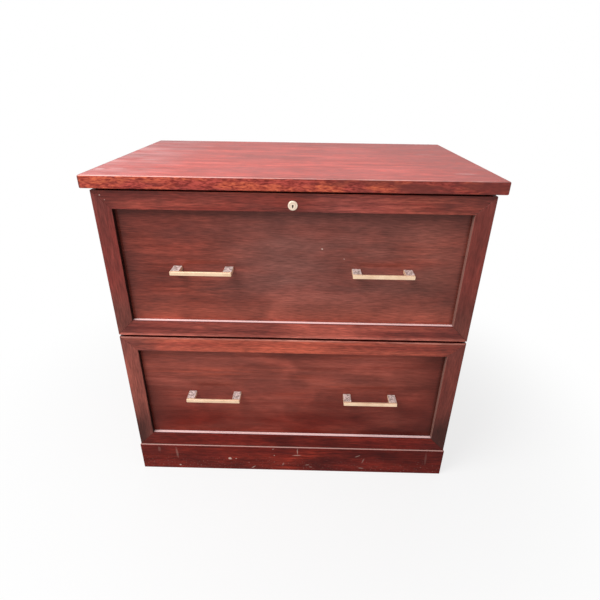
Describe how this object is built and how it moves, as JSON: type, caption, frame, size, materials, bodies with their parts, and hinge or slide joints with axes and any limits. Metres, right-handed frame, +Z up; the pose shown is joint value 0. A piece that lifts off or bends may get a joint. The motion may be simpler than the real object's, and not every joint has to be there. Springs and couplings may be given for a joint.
{
  "type": "lateral filing cabinet",
  "caption": "Low, wide wooden filing cabinet with wide drawers for hanging folders, mitred frame-and-panel fronts, bar pulls, a drawer lock, an overhanging top and a plinth.",
  "frame": {"origin": "on the floor, under the middle of the cabinet's outline in plan", "axes": "+X to the right as seen from the front, +Y from the drawer fronts to the back, +Z up"},
  "size_m": [0.805, 0.5278, 0.762],
  "materials": {
    "stained_wood": "semi-gloss red-brown stain",
    "box_wood": "clear satin lacquer",
    "zinc_steel": "zinc plated",
    "satin_nickel": "satin nickel",
    "black_nylon": "moulded, matte"
  },
  "bodies": {
    "carcass": {"top_panel": "stained_wood", "left_side_panel": "stained_wood", "right_side_panel": "stained_wood", "back_panel": "stained_wood", "bottom_panel": "stained_wood", "top_front_rail": "stained_wood", "middle_rail": "stained_wood", "plinth_front": "stained_wood", "plinth_left": "stained_wood", "plinth_right": "stained_wood", "plinth_rear": "stained_wood", "lock_strike_plate": "zinc_steel", "upper_left_cabinet_runner": "zinc_steel", "upper_right_cabinet_runner": "zinc_steel", "lower_left_cabinet_runner": "zinc_steel", "lower_right_cabinet_runner": "zinc_steel"},
    "upper_drawer": {"upper_front_top_rail": "stained_wood", "upper_front_bottom_rail": "stained_wood", "upper_front_left_stile": "stained_wood", "upper_front_right_stile": "stained_wood", "upper_front_panel": "stained_wood", "upper_box_front": "box_wood", "upper_box_back": "box_wood", "upper_box_left_side": "box_wood", "upper_box_right_side": "box_wood", "upper_box_bottom": "box_wood", "upper_front_file_bar": "zinc_steel", "upper_rear_file_bar": "zinc_steel", "upper_left_pull": "satin_nickel", "upper_right_pull": "satin_nickel", "upper_left_drawer_runner": "zinc_steel", "upper_right_drawer_runner": "zinc_steel", "lock_barrel": "satin_nickel", "lock_case": "zinc_steel"},
    "upper_middle_runners": {"upper_left_middle_runner": "zinc_steel", "upper_right_middle_runner": "zinc_steel"},
    "lower_drawer": {"lower_front_top_rail": "stained_wood", "lower_front_bottom_rail": "stained_wood", "lower_front_left_stile": "stained_wood", "lower_front_right_stile": "stained_wood", "lower_front_panel": "stained_wood", "lower_box_front": "box_wood", "lower_box_back": "box_wood", "lower_box_left_side": "box_wood", "lower_box_right_side": "box_wood", "lower_box_bottom": "box_wood", "lower_front_file_bar": "zinc_steel", "lower_rear_file_bar": "zinc_steel", "lower_left_pull": "satin_nickel", "lower_right_pull": "satin_nickel", "lower_left_drawer_runner": "zinc_steel", "lower_right_drawer_runner": "zinc_steel"},
    "lower_middle_runners": {"lower_left_middle_runner": "zinc_steel", "lower_right_middle_runner": "zinc_steel"},
    "lock_plug": {"lock_plug": "satin_nickel"},
    "lock_bolt": {"lock_bolt": "zinc_steel"},
    "leveller_front_left": {"leveller_front_left": "black_nylon"},
    "leveller_front_right": {"leveller_front_right": "black_nylon"},
    "leveller_rear_left": {"leveller_rear_left": "black_nylon"},
    "leveller_rear_right": {"leveller_rear_right": "black_nylon"}
  },
  "joints": [
    {"name": "upper_drawer_slide", "type": "slide", "parent": "carcass", "child": "upper_drawer", "axis": [0, -1, 0], "range_m": [0, 0.43]},
    {"name": "upper_middle_runner_slide", "type": "slide", "parent": "carcass", "child": "upper_middle_runners", "axis": [0, -1, 0], "range_m": [0, 0.215]},
    {"name": "lower_drawer_slide", "type": "slide", "parent": "carcass", "child": "lower_drawer", "axis": [0, -1, 0], "range_m": [0, 0.43]},
    {"name": "lower_middle_runner_slide", "type": "slide", "parent": "carcass", "child": "lower_middle_runners", "axis": [0, -1, 0], "range_m": [0, 0.215]},
    {"name": "lock_plug_turn", "type": "hinge", "parent": "upper_drawer", "child": "lock_plug", "pos_m": [0, -0.24115, 0.7086], "axis": [0, 1, 0], "range_deg": [0, 180]},
    {"name": "lock_bolt_throw", "type": "slide", "parent": "upper_drawer", "child": "lock_bolt", "axis": [0, 0, 1], "range_m": [0, 0.0078]},
    {"name": "leveller_front_left_screw", "type": "slide", "parent": "carcass", "child": "leveller_front_left", "axis": [0, 0, -1], "range_m": [0, 0.02]},
    {"name": "leveller_front_right_screw", "type": "slide", "parent": "carcass", "child": "leveller_front_right", "axis": [0, 0, -1], "range_m": [0, 0.02]},
    {"name": "leveller_rear_left_screw", "type": "slide", "parent": "carcass", "child": "leveller_rear_left", "axis": [0, 0, -1], "range_m": [0, 0.02]},
    {"name": "leveller_rear_right_screw", "type": "slide", "parent": "carcass", "child": "leveller_rear_right", "axis": [0, 0, -1], "range_m": [0, 0.02]}
  ],
  "couplings": [
    {"joint": "upper_middle_runner_slide", "follows": "upper_drawer_slide", "ratio": 0.5},
    {"joint": "lower_middle_runner_slide", "follows": "lower_drawer_slide", "ratio": 0.5},
    {"joint": "lock_plug_turn", "follows": "lock_bolt_throw", "rad_per_m": 402.77}
  ]
}
